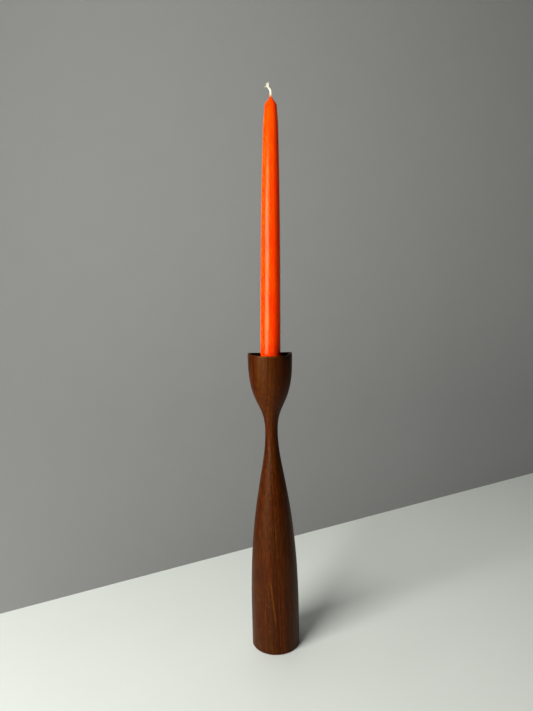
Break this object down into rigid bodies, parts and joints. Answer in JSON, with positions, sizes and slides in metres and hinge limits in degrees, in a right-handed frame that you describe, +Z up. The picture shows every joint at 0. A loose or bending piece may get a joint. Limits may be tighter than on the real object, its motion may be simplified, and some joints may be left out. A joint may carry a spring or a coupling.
{
  "type": "candlestick",
  "caption": "Slim turned wooden candlestick with a straight foot, narrow waist and open saddle-rimmed bowl, holding a lift-out taper candle in a brass socket.",
  "frame": {"origin": "centre of the foot's underside, on the surface that the candlestick stands on", "axes": "+Z up along the turning axis; the two low points of the rim face -Y and +Y, its two high points face -X and +X; the candle leans slightly towards +X"},
  "size_m": [0.0524, 0.0524, 0.6044],
  "materials": {
    "wood": "dark reddish-brown oiled hardwood with lengthwise grain, satin",
    "brass": "spun brass, lightly tarnished",
    "felt": "dark green wool felt",
    "wax": "glossy dipped orange wax",
    "cotton": "braided unbleached cotton"
  },
  "bodies": {
    "holder": {"turned_body": "wood", "candle_socket": "brass", "socket_screw": "brass", "felt_pad": "felt"},
    "candle": {"candle_wax": "wax", "wick": "cotton"}
  },
  "joints": [
    {"name": "candle_lift", "type": "slide", "parent": "holder", "child": "candle", "axis": [0.0227, 0, 0.9997], "range_m": [0, 0.06]}
  ]
}
